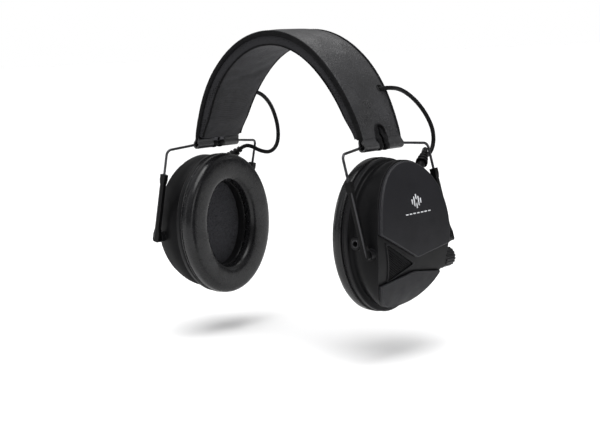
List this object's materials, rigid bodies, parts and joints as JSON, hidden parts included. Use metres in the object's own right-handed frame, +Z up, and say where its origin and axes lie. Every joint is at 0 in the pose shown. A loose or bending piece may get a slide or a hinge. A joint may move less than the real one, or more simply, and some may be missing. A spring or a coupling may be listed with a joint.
{
  "type": "earmuff hearing protector",
  "caption": "Over-the-head electronic earmuff with a padded headband, folding wire yokes, sliding arms, oval sealed cups, a volume knob, an audio socket and a battery door.",
  "frame": {"origin": "midway between the two cups, on the axis that both cups tilt about at mid-height", "axes": "+Z up towards the crown, -Y the way the wearer faces, +X towards the wearer's left cup"},
  "size_m": [0.208, 0.1143, 0.1914],
  "materials": {
    "headband_leather": "soft synthetic leather with a fine grain, charcoal",
    "band_trim": "woven edge binding, black",
    "band_mesh": "knitted spacer mesh, black",
    "foam": "open-cell foam, dark grey",
    "spring_steel": "blued spring strip",
    "wire_steel": "drawn spring wire, dark grey",
    "fixings": "zinc-plated steel",
    "cable": "matte flexible sleeve, black",
    "cushion_vinyl": "smooth soft vinyl, semi-gloss black",
    "arm_plastic": "moulded, satin black",
    "shell_plastic": "moulded, satin charcoal",
    "panel_plastic": "fine-textured, charcoal with a violet tint",
    "grille": "perforated, black",
    "inner_plastic": "moulded, black",
    "knob": "fluted, satin black",
    "electronics": "circuit board and components",
    "shaft": "turned",
    "cells": "printed sleeve, plain green"
  },
  "bodies": {
    "headband": {"spring_band": "spring_steel", "band_cover": "headband_leather", "top_foam": "foam", "band_pad": "foam", "band_liner": "band_mesh", "binding_front": "band_trim", "binding_rear": "band_trim", "cable_in_band": "cable", "cable_left": "cable", "cable_right": "cable"},
    "yoke_left": {"yoke_wire_left": "wire_steel"},
    "arms_left": {"arm_front_left": "arm_plastic", "arm_rear_left": "arm_plastic"},
    "cup_left": {"shell_left": "shell_plastic", "cushion_left": "cushion_vinyl", "cushion_ring_left": "inner_plastic", "base_plate_left": "inner_plastic", "lower_panel_left": "panel_plastic", "mic_grille_left": "grille", "mic_capsule_left": "electronics", "foam_liner_left": "foam", "speaker_frame_left": "inner_plastic", "speaker_left": "electronics", "shell_screws_left": "fixings", "speaker_screws_left": "fixings", "strain_relief_left": "cable", "pivot_clips_left": "fixings", "shield_panel_left": "panel_plastic", "circuit_board": "electronics", "potentiometer": "electronics", "aux_jack": "inner_plastic"},
    "yoke_right": {"yoke_wire_right": "wire_steel"},
    "arms_right": {"arm_front_right": "arm_plastic", "arm_rear_right": "arm_plastic"},
    "cup_right": {"shell_right": "shell_plastic", "cushion_right": "cushion_vinyl", "cushion_ring_right": "inner_plastic", "base_plate_right": "inner_plastic", "lower_panel_right": "panel_plastic", "mic_grille_right": "grille", "mic_capsule_right": "electronics", "foam_liner_right": "foam", "speaker_frame_right": "inner_plastic", "speaker_right": "electronics", "shell_screws_right": "fixings", "speaker_screws_right": "fixings", "strain_relief_right": "cable", "pivot_clips_right": "fixings", "battery_box": "inner_plastic", "batteries": "cells", "battery_contacts": "fixings", "door_cap": "shell_plastic"},
    "volume_control": {"volume_knob": "knob", "volume_shaft": "shaft"},
    "battery_door": {"battery_door": "panel_plastic"}
  },
  "joints": [
    {"name": "fold_left", "type": "hinge", "parent": "headband", "child": "yoke_left", "pos_m": [0.077, 0, 0.066], "axis": [0, 1, 0], "range_deg": [-10, 60], "deforming": ["cable_left"]},
    {"name": "height_left", "type": "slide", "parent": "yoke_left", "child": "arms_left", "axis": [0.2425, 0, -0.9701], "range_m": [0, 0.025], "deforming": ["cable_left"]},
    {"name": "tilt_left", "type": "hinge", "parent": "arms_left", "child": "cup_left", "pos_m": [0.097, 0, 0], "axis": [0, 1, 0], "range_deg": [-12, 12], "deforming": ["cable_left"]},
    {"name": "fold_right", "type": "hinge", "parent": "headband", "child": "yoke_right", "pos_m": [-0.077, 0, 0.066], "axis": [0, 1, 0], "range_deg": [-60, 10], "deforming": ["cable_right"]},
    {"name": "height_right", "type": "slide", "parent": "yoke_right", "child": "arms_right", "axis": [-0.2425, 0, -0.9701], "range_m": [0, 0.025], "deforming": ["cable_right"]},
    {"name": "tilt_right", "type": "hinge", "parent": "arms_right", "child": "cup_right", "pos_m": [-0.097, 0, 0], "axis": [0, 1, 0], "range_deg": [-12, 12], "deforming": ["cable_right"]},
    {"name": "volume_turn", "type": "hinge", "parent": "cup_left", "child": "volume_control", "pos_m": [0.0925, 0.045, -0.0145], "axis": [0, 1, 0], "range_deg": [0, 280]},
    {"name": "battery_door_open", "type": "hinge", "parent": "cup_right", "child": "battery_door", "pos_m": [-0.0961, 0, 0.0504], "axis": [0, 1, 0], "range_deg": [0, 75]}
  ]
}
